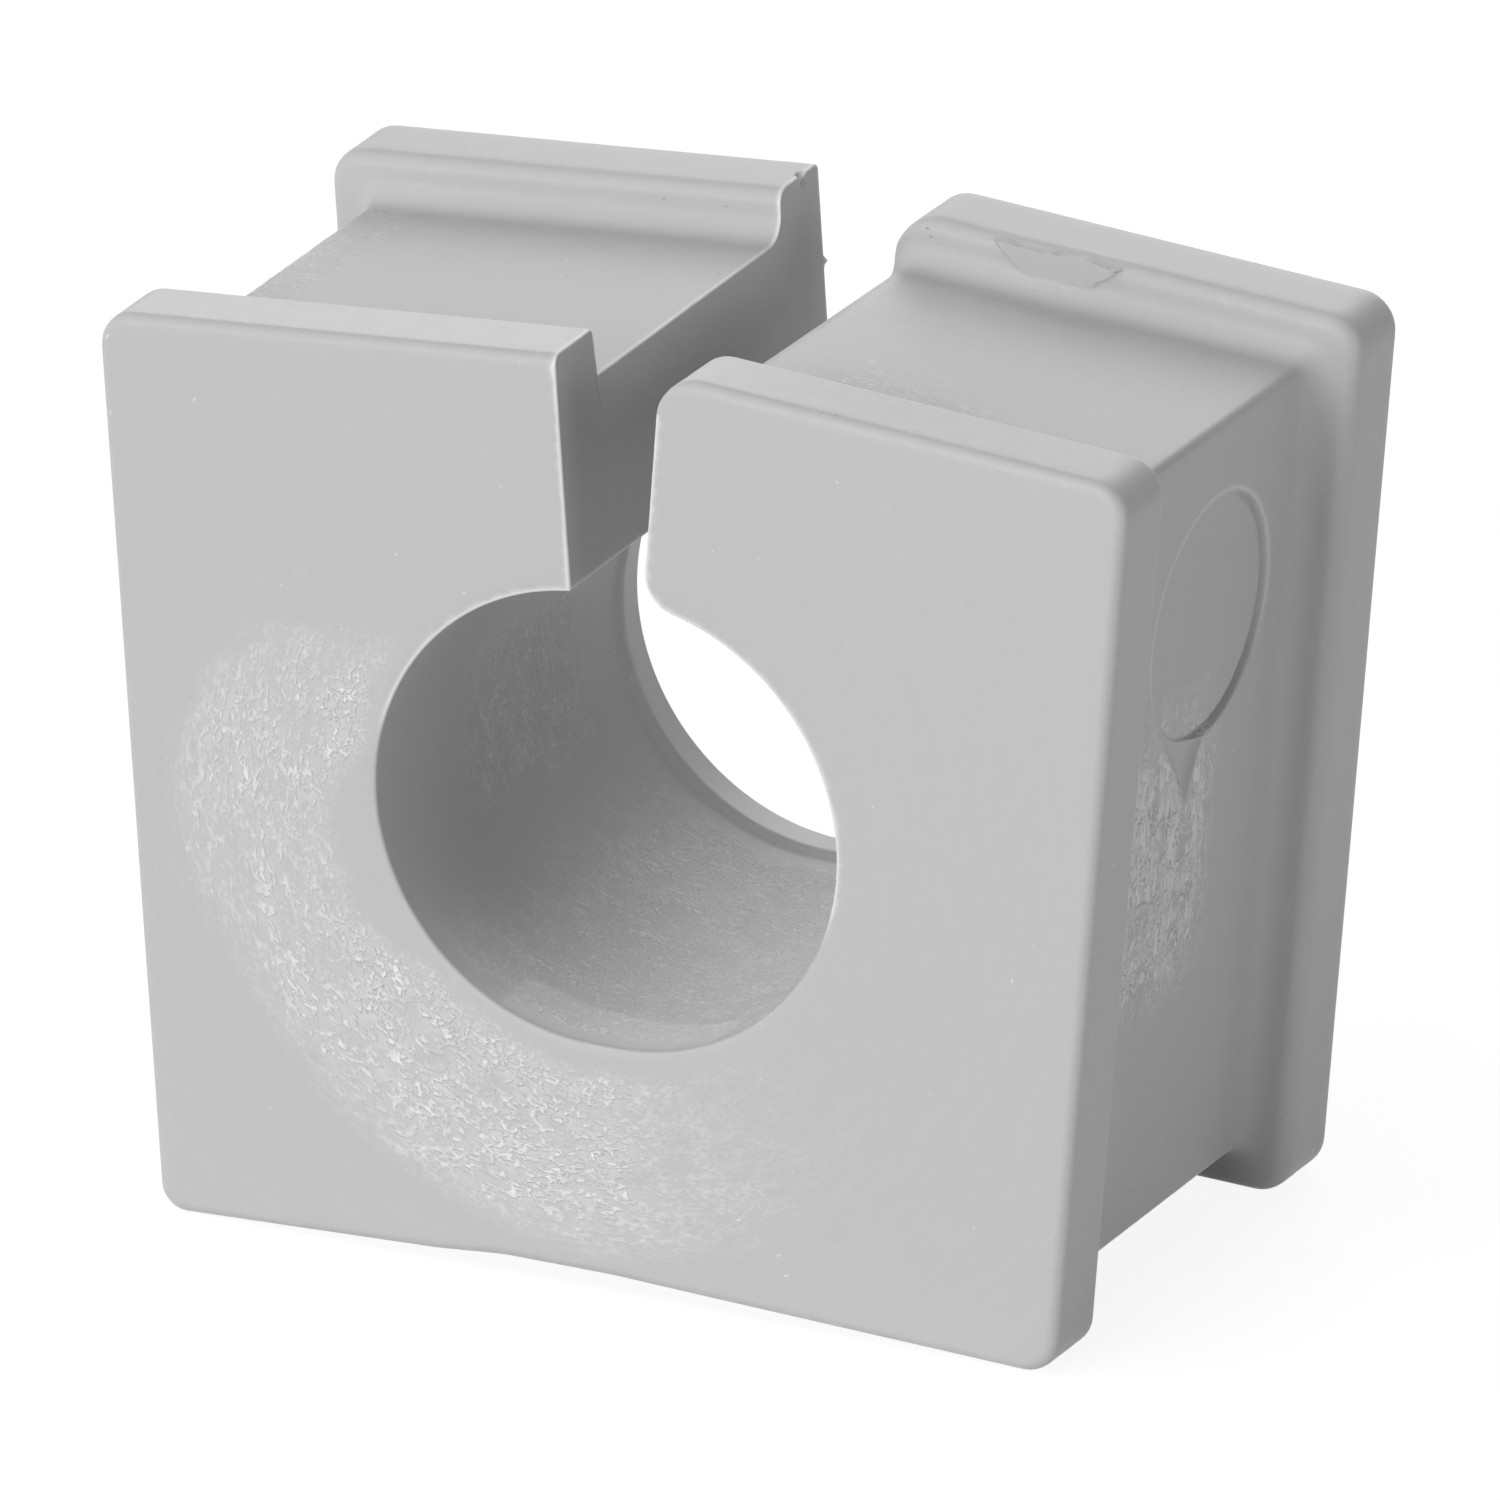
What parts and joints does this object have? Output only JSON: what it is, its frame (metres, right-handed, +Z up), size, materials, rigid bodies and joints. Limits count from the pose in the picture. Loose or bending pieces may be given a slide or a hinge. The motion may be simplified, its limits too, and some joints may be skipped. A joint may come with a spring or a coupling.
{
  "type": "cable grommet",
  "caption": "Split cable grommet: a square moulded block with a groove round its sides and a slit that opens its round bore to take a cable.",
  "frame": {"origin": "centre of the overall box at the level of the lower rims that the block stands on", "axes": "+Z up towards the slit, +Y from the front face to the back face, +X to the side with the disc"},
  "size_m": [0.048, 0.0262, 0.0414],
  "materials": {
    "elastomer": "matte light grey elastomer with crinkled paler patches"
  },
  "bodies": {
    "root": {"split_grommet": "elastomer"}
  },
  "joints": []
}
